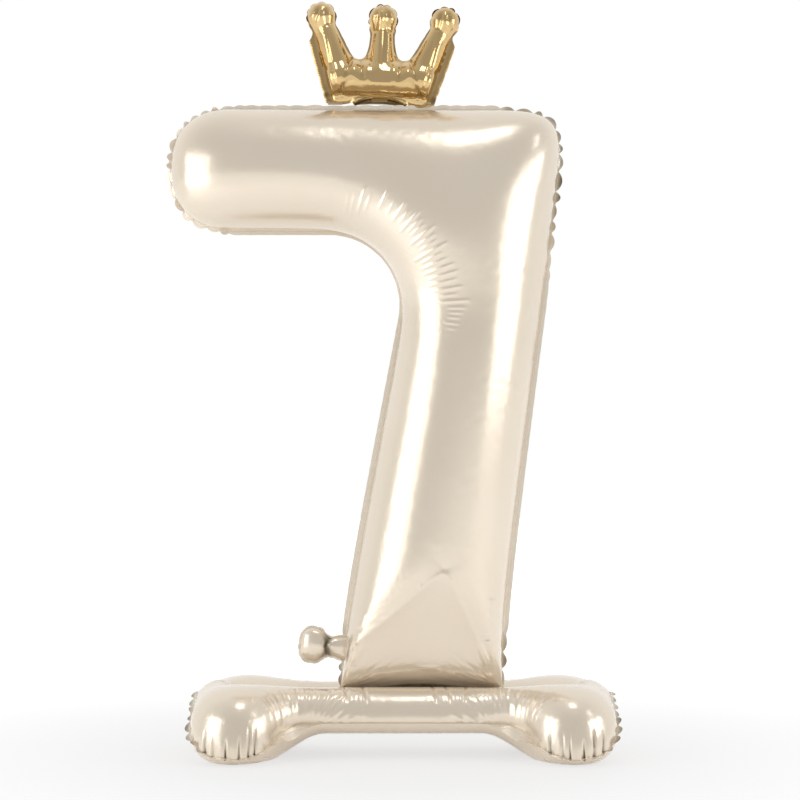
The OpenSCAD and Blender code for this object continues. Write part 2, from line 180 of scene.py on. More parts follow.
def swell(points, faces, held, moves, ratio, tied=None):
    # Where each point of a flat panel goes in the plan, its lift, and its place across the swell:
    # 0 along the crest and 1 at a seam that ties it down
    shift = settle(points, faces, held, moves, 0.0)
    tied = held if tied is None else tied
    blown = settle(points, faces, tied, np.zeros((len(points), 1)), 1.0)[:, 0]
    u, v = points[faces[:, 1]] - points[faces[:, 0]], points[faces[:, 2]] - points[faces[:, 0]]
    du, dv = blown[faces[:, 1]] - blown[faces[:, 0]], blown[faces[:, 2]] - blown[faces[:, 0]]
    fall = np.stack([du * v[:, 1] - dv * u[:, 1], dv * u[:, 0] - du * v[:, 0]], 1)
    area = gather(twice_area(u, v), faces, len(points))
    slope = np.stack([gather(part, faces, len(points)) / area for part in fall.T], 1)
    steep = np.linalg.norm(slope, axis=1) + 1e-12
    wide = np.sqrt(2 * blown + steep ** 2)
    across = np.clip(steep / wide, 0, 1)
    across[tied] = 1
    bow = ratio * wide * (np.sin(across * np.pi / 2) - across)
    bow[held] = 0
    plan = points + shift[:, :2] - slope / steep[:, None] * bow[:, None]
    return plan, shift[:, 2], across


def inflate(name, faces, front, back, shared, rims, slack, hold, growth, pressure, frames):
    # Two panels that share their seam, with a sealed border, as one cloth: air presses the panels out,
    # slack is where the film is longer than the smooth form, and the seam is held softly in its place.
    # Gives all points' places, the back panel's points, both panels' faces and the border's rings
    count, seam = len(front), len(rims[0])
    back_ids = np.arange(count)
    back_ids[~shared] = count + np.arange((~shared).sum())
    places = np.vstack([front, back[~shared]] + list(rims))
    first = count + (~shared).sum()
    here = np.arange(seam)
    ahead = (here + 1) % seam
    rings = [here] + [first + k * seam + here for k in range(len(rims))]
    strips = [np.stack([a, a[ahead], b[ahead], b], 1) for a, b in zip(rings, rings[1:])]
    panels = (faces, back_ids[faces][:, [0, 2, 1]])
    mesh = bpy.data.meshes.new(name)
    mesh.from_pydata(places.tolist(), [], np.vstack(panels).tolist() + np.vstack(strips).tolist())
    cloth = bpy.data.objects.new(name, mesh)
    bpy.context.collection.objects.link(cloth)
    bpy.context.view_layer.objects.active = cloth

    def paint(title, weights):
        group = cloth.vertex_groups.new(name=title)
        for level in np.unique(np.round(weights, 2)):
            if level > 0:
                chosen = np.flatnonzero(np.round(weights, 2) == level).tolist()
                group.add(chosen, float(level), "REPLACE")

    def both(values, rim):
        return np.concatenate([values, values[~shared], np.full(len(rims) * seam, rim)])

    rim_slack = np.tile(slack[:seam], len(rims))
    paint("air", both(np.where(shared, 0.0, 1.0), 0.0))
    paint("slack", np.concatenate([slack, slack[~shared], rim_slack]))
    paint("hold", both(hold, 0.0))
    film = cloth.modifiers.new("film", "CLOTH")
    film.settings.quality = 6
    film.settings.mass = 0.05
    film.settings.tension_stiffness = 120
    film.settings.compression_stiffness = 60
    film.settings.shear_stiffness = 60
    film.settings.bending_stiffness = 0.2
    film.settings.tension_damping = film.settings.compression_damping = film.settings.shear_damping = 12
    film.settings.bending_damping = 1
    film.settings.air_damping = 3
    film.settings.use_pressure = True
    film.settings.uniform_pressure_force = pressure
    film.settings.vertex_group_pressure = "air"
    film.settings.shrink_min, film.settings.shrink_max = 0.0, -growth
    film.settings.vertex_group_shrink = "slack"
    film.settings.vertex_group_mass = "hold"
    film.settings.pin_stiffness = 1
    film.settings.effector_weights.gravity = 0
    film.collision_settings.use_collision = False
    film.point_cache.frame_start, film.point_cache.frame_end = 1, frames
    for step in range(1, frames + 1):
        bpy.context.scene.frame_set(step)
    bpy.ops.object.modifier_apply(modifier="film")
    bpy.context.scene.frame_set(1)
    done = np.empty(len(mesh.vertices) * 3)
    cloth.data.vertices.foreach_get("co", done)
    bpy.data.objects.remove(cloth)
    return done.reshape(-1, 3), back_ids, panels, rings


def facing(places, faces):
    # The outward direction at each point of a mesh
    a, b, c = (places[faces[:, k]] for k in range(3))
    each = np.cross(b - a, c - a)
    total = np.stack([gather(part, faces, len(places)) for part in each.T], 1)
    return total / (np.linalg.norm(total, axis=1)[:, None] + 1e-15)


def pucker(seam, rings, places, panels, strength, period, out, lean, seed,
           nick_deep=0.0011, nick_long=0.011, painted_dark=0.0):
    # The sealed border gathers into scallops where the seam is drawn in: notches between small lobes,
    # with a short crease running into both panels from each notch. Gives each point's painted shade: dark
    # crescents painted on the border's lobes, standing in for the dark room they reflect
    drawn, lifted, nick_w = 0.0016, 0.0011, 0.0022
    seam_at = places[rings[0]].copy()
    step = np.linalg.norm(np.roll(seam, -1, 0) - seam, axis=1)
    along = np.concatenate([[0], np.cumsum(step)])[:-1]
    whole = step.sum()
    rng = np.random.default_rng(seed)
    notches, at = [], 0.0
    while at < whole - 0.6 * period.mean():
        notches.append(at)
        at += np.interp(at, along, period) * rng.uniform(0.6, 1.4)
    notches = np.array(notches + [whole])
    lobe = np.searchsorted(notches, along, side="right") - 1
    start, end = notches[lobe], notches[lobe + 1]
    inside = np.sin(np.pi * (along - start) / (end - start))
    scallop = np.clip(inside, 0, 1) ** 0.75
    size = rng.uniform(0.45, 1.0, len(notches))[lobe]
    turn = rng.choice([-1.0, 1.0], len(notches))[lobe] * size
    # Painted reflection: the outer border lobes are painted dark where painted_dark is set
    dark = np.zeros(len(places))
    gloom = painted_dark * rng.uniform(0.5, 1.2, len(notches))[lobe] * scallop
    dark[rings[-1]], dark[rings[1]] = gloom, 0.75 * gloom
    pulled = out * (drawn * strength * (1 - scallop))[:, None]
    places[rings[0]] -= pulled
    for k, ring in enumerate(rings[1:], 1):
        draw = (places[ring] - seam_at) * (strength * (1 - scallop * size) * 0.8)[:, None]
        places[ring] += -draw + np.asarray(lean) * (lifted * k * strength * turn * scallop)[:, None]
        places[ring] -= pulled
    nick = strength * np.exp(-(np.minimum(along - start, end - along) / nick_w) ** 2)
    for faces in panels:
        points = np.unique(faces)
        points = points[points >= len(seam_at)]
        best, gap = np.zeros(len(points), int), np.full(len(points), 9.0)
        for j, p in enumerate(seam_at):
            d = ((places[points] - p) ** 2).sum(1)
            closer = d < gap
            best[closer], gap[closer] = j, d[closer]
        gap = np.sqrt(gap)
        depth = nick_deep * nick[best] * np.exp(-gap / nick_long)
        places[points] -= facing(places, faces)[points] * depth[:, None]
    return dark


def crease(places, faces, plan, lines, half_width, form="round"):
    # Straight wrinkles raised on a panel, each from one point to another of its plan or of its flat cut:
    # round, a sharp ridge, or a pleat that stands up on one side only. Gives how much each point rose
    points = np.unique(faces)
    flat = plan[points]
    rise = np.zeros(len(points))
    for x1, y1, x2, y2, height in lines:
        a, way = np.array([x1, y1]), np.array([x2 - x1, y2 - y1])
        length = np.linalg.norm(way)
        way /= length
        t = (flat - a) @ way / length
        off = (flat - a) @ np.array([-way[1], way[0]])
        taper = np.clip(np.sin(np.pi * np.clip(t, 0, 1)), 0, 1) ** 0.7
        off = off / half_width
        profile = np.exp(-np.abs(off) if form == "ridge" else -off ** 2)
        rise += height * taper * (2.33 * off * profile if form == "pleat" else profile)
    places[points] += facing(places, faces)[points] * rise[:, None]
    risen = np.zeros(len(places))
    risen[points] = rise
    return risen


def foil(name, done, faces, rings, lean, dark, thick=0.00025):
    # One panel with its half of the sealed border, as a thin closed shell
    clear = 0.0002
    places = done.copy()
    for ring in rings[1:]:
        places[ring] += np.asarray(lean) * clear
    here = np.arange(len(rings[0]))
    ahead = (here + 1) % len(here)
    strips = np.vstack([np.stack([a, a[ahead], b[ahead], b], 1) for a, b in zip(rings, rings[1:])])
    a, b, c = (places[strips[:, k]] for k in range(3))
    way = np.cross(b - a, c - a) @ np.asarray(lean)
    if way.sum() < 0:
        strips = strips[:, ::-1]
    mesh = bpy.data.meshes.new(name)
    mesh.from_pydata(places.tolist(), [], faces.tolist() + strips.tolist())
    seal = np.zeros(len(places))
    seal[np.concatenate(rings[1:])] = 1
    mesh.attributes.new("seal", "FLOAT", "POINT").data.foreach_set("value", seal)
    # The dark attribute holds painted shade and painted dark reflections
    mesh.attributes.new("dark", "FLOAT", "POINT").data.foreach_set("value", np.clip(dark, 0, 1))
    piece = bpy.data.objects.new(name, mesh)
    bpy.context.collection.objects.link(piece)
    bpy.context.view_layer.objects.active = piece
    piece.select_set(True)
    bpy.ops.object.mode_set(mode="EDIT")
    bpy.ops.mesh.select_all(action="SELECT")
    bpy.ops.mesh.delete_loose()
    bpy.ops.object.mode_set(mode="OBJECT")
    wall = piece.modifiers.new("wall", "SOLIDIFY")
    wall.thickness, wall.offset = thick, -1
    bpy.ops.object.modifier_apply(modifier="wall")
    bpy.ops.object.shade_smooth_by_angle(angle=math.radians(58))
    piece.select_set(False)
    return piece


lobe_x, lobe_y = base_half_len - lobe_r, toe_reach - lobe_r
waist_y = bar_reach + waist_r
waist_x = lobe_x - math.sqrt((lobe_r + waist_r) ** 2 - (waist_y - lobe_y) ** 2)
waist_a = math.atan2(waist_y - lobe_y, lobe_x - waist_x)
turn = np.linspace(0, math.pi - waist_a, 90)
dip = np.linspace(-waist_a, -math.pi / 2, 50)[1:]
corner = np.vstack([
    np.stack([np.full(20, base_half_len), np.linspace(0, lobe_y, 21)[:20]], 1),
    np.stack([lobe_x + lobe_r * np.cos(turn), lobe_y + lobe_r * np.sin(turn)], 1),
    np.stack([waist_x + waist_r * np.cos(dip), waist_y + waist_r * np.sin(dip)], 1),
    np.stack([np.linspace(waist_x, 0, 40)[1:], np.full(39, bar_reach)], 1)])
half = np.vstack([corner * [-1, 1], corner[-2::-1]])
base_seam = np.vstack([half, (half * [1, -1])[-2:0:-1]])
base_cut = base_seam + outward(base_seam) * base_ease
base_cut, base_seam = walk(base_cut, seam_step, base_seam)
waists = [np.array([sx * waist_x, sy * waist_y]) for sx in (-1, 1) for sy in (-1, 1)]


def base_edge(p):
    return gap_to(p, base_cut[::2]) < edge_w


def waist_zone(p):
    far = np.min([np.hypot(p[:, 0] - w[0], p[:, 1] - w[1]) for w in waists], 0)
    return (far > 0.013) & (far < 0.062) & (np.abs(p[:, 1]) < waist_y - 0.004)


# Single folds across the bar, each by its place and its lean
bar_folds = ((-0.066, 0.006), (-0.0465, 0.0077), (0.031, 0.0055), (0.0452, 0.0066), (0.069, -0.004))


def fold_zone(p):
    near = np.min([np.abs(p[:, 0] - x - lean / 2) for x, lean in bar_folds], 0)
    return (near < 0.007) & (np.abs(p[:, 1]) > 0.034) & (np.abs(p[:, 1]) < 0.072)


def toe_zone(p):
    off = np.abs(p) - [lobe_x, lobe_y]
    return (np.hypot(*off.T) > lobe_r + 0.009) & (off[:, 1] > 0.6 * np.abs(off[:, 0]))


arc = np.linspace(-math.pi / 2, math.pi / 2, 5)
weld_end = np.stack([weld_half_len + weld_half_w * np.cos(arc), weld_half_w * np.sin(arc)], 1)
side = np.linspace(-weld_half_len, weld_half_len, 60)[1:-1]
base_weld = np.vstack([
    weld_end, np.stack([side[::-1], np.full(58, weld_half_w)], 1),
    -weld_end, np.stack([side, np.full(58, -weld_half_w)], 1)])
base_zones = [(edge_step, base_edge), (toe_step, toe_zone), (fold_step, fold_zone), (waist_step, waist_zone)]
base_pts, base_faces = cut_panel(base_cut, panel_step, base_zones, base_weld)
base_n, weld_n = len(base_cut), len(base_weld)
base_shared = np.zeros(len(base_pts), bool)
base_shared[:base_n + weld_n] = True
base_shared[base_n + weld_n:] = within(base_pts[base_n + weld_n:], base_weld)


def base_seam_z(y):
    return end_z - (end_z - toe_z) * np.minimum(1, np.abs(y) / toe_reach) ** droop


base_moves = np.zeros((len(base_pts), 3))
base_moves[:base_n, :2] = base_seam - base_cut
base_moves[:base_n, 2] = base_seam_z(base_seam[:, 1])
base_moves[base_n:, 2] = np.where(base_shared[base_n:], weld_z, 0)
base_plan, base_lift, base_across = swell(base_pts, base_faces, base_shared, base_moves, bow_ratio)
lobe = ease((np.abs(base_plan[:, 0]) - 0.085) / 0.075)
crest = np.cos(base_across * np.pi / 2)
base_front = np.column_stack([base_plan[:, 0] + base_middle, base_plan[:, 1],
                              base_lift + (mix(bar_top_z, lobe_top_z, lobe) - base_lift) * crest])
base_back = base_front.copy()
base_back[:, 2] = np.maximum(0.0004, base_lift + (mix(bar_under_z, lobe_under_z, lobe) - base_lift) * crest)
# A loose web of the border hangs down at each waist
web_a = -(waist_a + math.pi / 2) / 2
web_at = np.array([waist_x + waist_r * math.cos(web_a), waist_y + waist_r * math.sin(web_a)])
web = np.exp(-(np.linalg.norm(np.abs(base_seam) - web_at, axis=1) / 0.022) ** 2)
base_rims = [np.column_stack([base_seam + outward(base_seam) * (seam_w + web_w * web[:, None]) * k / 2,
                              base_seam_z(base_seam[:, 1]) - web_drop * web * k / 2])
             + [base_middle, 0, 0] for k in (1, 2)]
near_seam = gap_to(base_pts, base_cut)
base_slack = np.exp(-(near_seam / 0.022) ** 2) * mix(0.15, 1.0, lobe)
base_hold = np.where(base_shared, 1.0, 0.0)
base_hold[:base_n] = seam_grip
base_done, base_back_ids, base_panels, base_rings = inflate(
    "base_film", base_faces, base_front, base_back, base_shared, base_rims, base_slack, base_hold,
    growth=0.15, pressure=5, frames=18)
seam_lobe = ease((np.abs(base_seam[:, 0]) - 0.115) / 0.05)
base_seam_at = np.column_stack([base_seam, base_seam_z(base_seam[:, 1])]) + [base_middle, 0, 0]
base_away = np.column_stack([outward(base_seam), np.zeros(base_n)])
# The border's lobes at the base's ends get painted dark reflections
at_end = ease((np.abs(base_seam[:, 0]) - 0.205) / 0.02)
base_dark = pucker(
    base_seam_at, base_rings, base_done, base_panels, 0.06 + 0.94 * seam_lobe, np.full(base_n, 0.016),
    base_away, (0, 0, 1), 8, 0.0008, 0.007, 0.9 * at_end)
# Wrinkles fan out from each waist, run on over the bar's ends and cross the bar, all set in the flat cut
rng = np.random.default_rng(21)
lines = []
for wx, wy in waists:
    for angle in np.linspace(-84, 74, 27):
        a = math.radians(angle + rng.uniform(-2, 2))
        way = np.array([math.sin(a) * -np.sign(wx), -np.sign(wy) * math.cos(a)])
        start, end = rng.uniform(0.014, 0.020), rng.uniform(0.044, 0.061)
        (x1, y1), (x2, y2) = np.array([wx, wy]) + way * start, np.array([wx, wy]) + way * end
        lines.append((x1, y1, x2, y2, rng.uniform(0.5, 1.3) / 1000))
    for step in range(7):
        x, low, high = (waist_x - 0.030 - 0.0048 * step) * np.sign(wx), rng.uniform(0.046, 0.056), 0.080
        lines.append((x, np.sign(wy) * high, x, np.sign(wy) * low, rng.uniform(0.3, 0.7) / 1000))
for x, lean in bar_folds:
    for side in (-1, 1):
        lines.append((x, side * 0.038, x + lean, side * 0.070, -0.0016))
base_flat = np.full((len(base_done), 2), 9.0)
base_flat[base_back_ids] = base_flat[:len(base_pts)] = base_pts
crease(base_done, base_faces, base_flat, lines, 0.0016)
# Short pleats run up each foot from the seam, painted dark along their sunken lines as painted shade
pleats = []
for sx in (-1, 1):
    for sy in (-1, 1):
        for angle in np.linspace(-36, 36, 6):
            a = math.radians(angle + rng.uniform(-4.5, 4.5))
            way = np.array([math.sin(a) * sx, math.cos(a) * sy])
            reach = rng.uniform(0.006, 0.013)
            (x1, y1), (x2, y2) = (np.array([sx * lobe_x, sy * lobe_y]) + way * (lobe_r + base_ease + r)
                                  for r in (-reach, reach))
            pleats.append((x1, y1, x2, y2, rng.uniform(-2.4, -1.4) / 1000))
# Painted shade along each pleat's sunken line
for faces in base_panels:
    base_dark += 0.8 * np.clip(-crease(base_done, faces, base_flat, pleats, 0.0019) / 0.0020, 0, 1) ** 2
base_done[:, 2] = np.maximum(base_done[:, 2], 0.0002)
base_top = foil("base_top", base_done, base_panels[0], base_rings, (0, 0, 1), base_dark)
base_bottom = foil("base_bottom", base_done, base_panels[1], base_rings, (0, 0, -1), base_dark)


def new_material(title, colour, metallic, roughness):
    material = bpy.data.materials.new(title)
    material.use_nodes = True
    shader = material.node_tree.nodes["Principled BSDF"]
    shader.inputs["Base Color"].default_value = (*colour, 1)
    shader.inputs["Metallic"].default_value = metallic
    shader.inputs["Roughness"].default_value = roughness
    return material, material.node_tree, shader


def join(tree, kind, *values):
    # One Math node on the outputs of others and on numbers
    node = tree.nodes.new("ShaderNodeMath")
    node.operation = kind
    for socket, value in zip(node.inputs, values):
        if isinstance(value, float):
            socket.default_value = value
        else:
            tree.links.new(value, socket)
    return node.outputs[0]


def tinted(tree, share, first, second):
    # A colour, or another node's colour, that gives way to a second one by a share
    node = tree.nodes.new("ShaderNodeMix")
    node.data_type = "RGBA"
    tree.links.new(share, node.inputs[0])
    for socket, colour in zip(node.inputs[6:8], (first, second)):
        if isinstance(colour, tuple):
            socket.default_value = (*colour, 1)
        else:
            tree.links.new(colour, socket)
    return node.outputs[2]


def film_surface():
    # What blown-up metallised film shows close to: slow waves of thickness, faint crinkles, and the fine
    # ribs that the heated bar leaves in the sealed border
    group = bpy.data.node_groups.new("film_surface", "ShaderNodeTree")
    for title, size in (("Wave size", 9.0), ("Crinkle size", 60.0), ("Rib size", 380.0)):
        socket = group.interface.new_socket(title, in_out="INPUT", socket_type="NodeSocketFloat")
        socket.default_value = size
    for title in ("Mottle", "Seal", "Dark", "Height"):
        group.interface.new_socket(title, in_out="OUTPUT", socket_type="NodeSocketFloat")
    nodes, link = group.nodes, group.links.new
    given, out = nodes.new("NodeGroupInput"), nodes.new("NodeGroupOutput")
    spot = nodes.new("ShaderNodeTexCoord")
    wave, crinkle = nodes.new("ShaderNodeTexNoise"), nodes.new("ShaderNodeTexNoise")
    wave.inputs["Detail"].default_value, crinkle.inputs["Detail"].default_value = 1.0, 3.0
    crinkle.inputs["Distortion"].default_value = 0.6
    rib = nodes.new("ShaderNodeTexWave")
    rib.bands_direction = "DIAGONAL"
    rib.inputs["Distortion"].default_value = 0.3
    for texture, title in ((wave, "Wave size"), (crinkle, "Crinkle size"), (rib, "Rib size")):
        link(spot.outputs["Object"], texture.inputs["Vector"])
        link(given.outputs[title], texture.inputs["Scale"])
    # The dark attribute carries the painted shade and painted dark reflections set on each piece
    seal, dark = nodes.new("ShaderNodeAttribute"), nodes.new("ShaderNodeAttribute")
    seal.attribute_name, dark.attribute_name = "seal", "dark"
    ribs = join(group, "MULTIPLY", rib.outputs["Fac"], seal.outputs["Fac"])
    waves = join(group, "MULTIPLY_ADD", crinkle.outputs["Fac"], 0.25, wave.outputs["Fac"])
    link(wave.outputs["Fac"], out.inputs["Mottle"])
    link(seal.outputs["Fac"], out.inputs["Seal"])
    link(dark.outputs["Fac"], out.inputs["Dark"])
    link(join(group, "MULTIPLY_ADD", ribs, 0.2, waves), out.inputs["Height"])
    return group


film_group = film_surface()


def foil_finish(title, deep, light, sealed, painted_shade_colour, metallic, roughness, seal_roughness, depth, coat):
    # Metallised film: two close tones that drift over the surface, a duller sealed border, painted shade and
    # painted dark reflections where the dark attribute is set, and slight waves, under a clear coat
    material, tree, shader = new_material(title, deep, metallic, roughness)
    shader.inputs["Coat Weight"].default_value, shader.inputs["Coat Roughness"].default_value = coat, 0.1
    film = tree.nodes.new("ShaderNodeGroup")
    film.node_tree = film_group
    tone = tinted(tree, film.outputs["Mottle"], deep, light)
    tone = tinted(tree, film.outputs["Seal"], tone, sealed)
    # Painted shade and painted dark reflections take over where the dark attribute is set
    tone = tinted(tree, film.outputs["Dark"], tone, painted_shade_colour)
    dull = tree.nodes.new("ShaderNodeMapRange")
    dull.inputs["To Min"].default_value, dull.inputs["To Max"].default_value = roughness, seal_roughness
    bump = tree.nodes.new("ShaderNodeBump")
    bump.inputs["Strength"].default_value = 1.0
    bump.inputs["Distance"].default_value = depth
    link = tree.links.new
    link(tone, shader.inputs["Base Color"])
    link(film.outputs["Seal"], dull.inputs["Value"])
    link(dull.outputs["Result"], shader.inputs["Roughness"])
    link(film.outputs["Height"], bump.inputs["Height"])
    link(bump.outputs["Normal"], shader.inputs["Normal"])
    return material


# The pearl's fifth colour is its painted shade and painted dark reflection colour
pearl = foil_finish("pearl_foil", (0.770, 0.668, 0.535), (0.815, 0.725, 0.605), (0.79, 0.705, 0.585),
                    (0.11, 0.09, 0.05), 0.57, 0.23, 0.28, 0.0004, 0.3)
for piece, node in ((base_top, "base_top_foil"), (base_bottom, "base_bottom_foil")):
    piece.data.materials.append(pearl)
    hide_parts(node)
    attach(piece, "base")


# Number: two sheets of the same ivory film, cut to the figure and heat-sealed round the edge. The seam
# draws in as the air fills it, so the film puckers at the outer corners and wrinkles inside the bend.
number_x, foot_z, top_z = 0.0355, 0.0661, 0.7211
bar_h, bar_out, foot_w, stem_w = 0.136, 0.282, 0.178, 0.152
lean_t, foot_turn, foot_rise = math.tan(math.radians(9.2)), 0.070, 0.005
bend_r, corner_sharp, end_square = 0.085, 10, 2.3
bar_deep, bend_deep, stem_deep = 0.057, 0.072, 0.065
bar_r = bar_h / 2
bar_z, bar_x = top_z - bar_r, number_x - bar_out + bar_r
bend_z = top_z - bar_h - bend_r
taper_t = (foot_w - stem_w) / 2 / (bend_z - foot_z)
left_a, right_a = math.atan(lean_t + taper_t), math.atan(lean_t - taper_t)
number_ease, foot_step, bend_step = 0.033, 0.0022, 0.0015


def stand(flat, y=0.0):
    # Points drawn in an upright plane, set at a depth
    return np.column_stack([flat[:, 0], np.broadcast_to(y, len(flat)), flat[:, 1]])


def stem_point(side, up):
    # A point of the stem's left or right edge, at a height above the foot
    middle = number_x + lean_t * (up - foot_turn * (1 - np.exp(-up / foot_turn)))
    return np.stack([middle + side * mix(foot_w, stem_w, up / (bend_z - foot_z)) / 2, foot_z + up], -1)


bend = np.array([stem_point(-1, bend_z - foot_z)[0] - bend_r / math.cos(left_a), bend_z])
right_reach = (stem_point(1, bend_z - foot_z)[0] - bend[0]) * math.cos(right_a)


def bend_out(a):
    # How far the outer corner is from the middle of the bend, in a direction
    up = np.maximum(0, np.sin(a)) / (top_z - bend_z)
    across = np.maximum(0, np.cos(a + right_a)) / right_reach
    return (up ** corner_sharp + across ** corner_sharp) ** (-1 / corner_sharp)


def number_rail(side):
    # The outer or inner edge of the figure, from the bar's left tip to the middle of the foot
    a = np.linspace(0, math.pi / 2, 61)
    end = np.stack([bar_x - bar_r * np.cos(a).clip(0) ** (2 / end_square),
                    bar_z + side * bar_r * np.sin(a) ** (2 / end_square)], 1)
    x = np.linspace(bar_x, bend[0], 31)[1:]
    bar = np.stack([x, np.full(30, bar_z + side * bar_r)], 1)
    a = np.linspace(math.pi / 2, -left_a, 121)[1:]
    out = bend_out(a) if side > 0 else np.full(120, bend_r)
    corner = bend + np.stack([np.cos(a), np.sin(a)], 1) * out[:, None]
    stem = stem_point(side, (corner[-1, 1] - foot_z) * np.linspace(1, 0, 81)[1:])
    t = np.linspace(0, 1, 41)[1:]
    foot = np.stack([number_x + side * foot_w / 2 * (1 - t), foot_z + foot_rise * (1 - (1 - t) ** 2)], 1)
    return np.vstack([end, bar, corner, stem, foot])


number_seam = np.vstack([number_rail(1), number_rail(-1)[-2:0:-1]])
number_cut = number_seam + outward(number_seam) * number_ease
number_cut, number_seam = walk(number_cut, seam_step, number_seam)


def bend_zone(p):
    far = np.hypot(p[:, 0] - bend[0], p[:, 1] - bend[1])
    a = np.arctan2(p[:, 1] - bend[1], p[:, 0] - bend[0])
    return (far > 0.090) & (far < 0.158) & (a > -0.26) & (a < 1.52)


def foot_zone(p):
    return p[:, 1] < 0.225


def seam_zone(p):
    return gap_to(p, number_cut[::2]) < edge_w


number_pts, number_faces = cut_panel(
    number_cut, panel_step, [(edge_step, seam_zone), (foot_step, foot_zone), (bend_step, bend_zone)])
number_n = len(number_cut)
number_shared = np.arange(len(number_pts)) < number_n
number_moves = np.zeros((len(number_pts), 3))
number_moves[:number_n, :2] = number_seam - number_cut
on_foot = number_shared.copy()
on_foot[:number_n] = (number_seam[:, 1] < foot_z + foot_rise + 0.001) & (
    np.abs(number_seam[:, 0] - number_x) < foot_w / 2 - 0.002)
number_plan, _, number_across = swell(
    number_pts, number_faces, number_shared, number_moves, bow_ratio, number_shared & ~on_foot)
round_bend = np.arctan2(number_plan[:, 1] - bend[1], number_plan[:, 0] - bend[0])
part = np.clip((math.pi / 2 - round_bend) / (math.pi / 2 + left_a), 0, 1)
part = np.where(number_plan[:, 0] < bend[0], np.where(number_plan[:, 1] > bend[1], 0, 1), part)
number_deep = mix(bar_deep, stem_deep, ease(part))
number_deep += (bend_deep - (bar_deep + stem_deep) / 2) * np.sin(np.pi * part) ** 2
# Above its bottom seam the stem's end is blunt, like a chisel
foot_arch = foot_rise * (1 - ((number_plan[:, 0] - number_x) / foot_w * 2) ** 2)
up = np.maximum(0, number_plan[:, 1] - foot_z - foot_arch)
chisel = 0.018 * (1 - np.exp(-up / 0.007)) + 0.38 * up
number_out = number_deep * np.cos(number_across * np.pi / 2)
soft = 0.004
chisel = -soft * np.log(np.exp(-number_out / soft) + np.exp(-chisel / soft))
number_out = np.where(up < 0.16, np.maximum(0, chisel), number_out)
number_out[:number_n] = 0
number_front = stand(number_plan, -number_out)
number_rims = [stand(number_seam + outward(number_seam) * seam_w * k / 2) for k in (1, 2)]
# The film is slack at the bar's end, the outer corner, the foot and inside the bend
near_seam = gap_to(number_pts, number_cut)
end_part = ease((bar_x + 0.01 - number_plan[:, 0]) / 0.05)
outer_part = ease((number_plan[:, 0] - 0.10) / 0.06) * ease((number_plan[:, 1] - 0.60) / 0.08)
foot_part = ease((0.16 - number_plan[:, 1]) / 0.06)
from_bend = np.hypot(number_plan[:, 0] - bend[0], number_plan[:, 1] - bend[1])
bend_part = np.exp(-((from_bend - 0.142) / 0.022) ** 2) * (number_plan[:, 0] > bend[0] - 0.02) * (
    number_plan[:, 1] > bend[1] - 0.04)
number_slack = np.clip(0.12 + end_part + outer_part + 0.8 * foot_part, 0, 1)
number_slack = np.exp(-(near_seam / 0.020) ** 2) * number_slack
number_slack = np.clip(number_slack + 0.35 * bend_part, 0, 1)
number_done, number_back_ids, number_panels, number_rings = inflate(
    "number_film", number_faces, number_front, number_front * [1, -1, 1], number_shared, number_rims,
    number_slack, np.where(number_shared, seam_grip, 0.0), growth=0.22, pressure=6, frames=18)
seam_end = ease((bar_x + 0.015 - number_seam[:, 0]) / 0.04)
seam_outer = ease((number_seam[:, 0] - 0.115) / 0.03) * ease((number_seam[:, 1] - 0.50) / 0.10)
seam_foot = ease((0.155 - number_seam[:, 1]) / 0.05) * (np.abs(number_seam[:, 0] - number_x) > 0.08)
seam_top = 0.25 * ease((number_seam[:, 1] - 0.70) / 0.01)
number_gather = np.clip(0.05 + 0.8 * seam_end + seam_outer + 0.8 * seam_foot + seam_top, 0, 1)
number_period = mix(np.full(number_n, 0.0175), 0.0135, seam_end)
# Painted dark reflections on the border's lobes at the outer corner and the foot
number_painted_dark = 0.9 * seam_outer * ease((number_seam[:, 1] - 0.56) / 0.05) + 0.7 * seam_foot
number_dark = pucker(
    stand(number_seam), number_rings, number_done, number_panels, number_gather, number_period,
    stand(outward(number_seam)), (0, 1, 0), 3, painted_dark=number_painted_dark)
# Wrinkles inside the bend, by their direction from fold_at, start, end and height in mm
fold_at = np.array([-0.0672, 0.4915])
bend_wrinkles = (
    (80, 105, 132, 0.35), (77, 104, 134, 0.4), (73, 108, 141, 0.8), (69.5, 112, 136, 0.35),
    (63, 122, 146, 0.8), (58, 122, 140, 0.35), (53.5, 118, 146, 0.8), (50, 122, 140, 0.4),
    (46.5, 114, 148, 0.9), (43.5, 120, 143, 0.6), (41, 118, 140, 0.5), (37.5, 113, 149, 1.0),
    (34.5, 117, 143, 0.5), (31.8, 118, 141, 0.5), (28.6, 107, 149, 1.0), (25.6, 112, 140, 0.6),
    (22.5, 110, 142, 0.7), (19.2, 110, 147, 0.8), (15.8, 113, 149, 0.7), (12.5, 110, 146, 0.6),
    (9, 115, 150, 0.7), (6, 124, 143, 0.4), (3, 114, 158, 0.7), (0, 130, 151, 0.45),
    (-2.2, 131, 148, 0.45), (-4.4, 130, 146, 0.45), (-7, 127, 146, 0.5), (-9.5, 130, 143, 0.35))
lines = []
for angle, start, end, height in bend_wrinkles:
    way = np.array([math.cos(math.radians(angle)), math.sin(math.radians(angle))])
    (x1, z1), (x2, z2) = fold_at + way * start / 1000, fold_at + way * end / 1000
    lines.append((x1, z1, x2, z2, height / 1000))
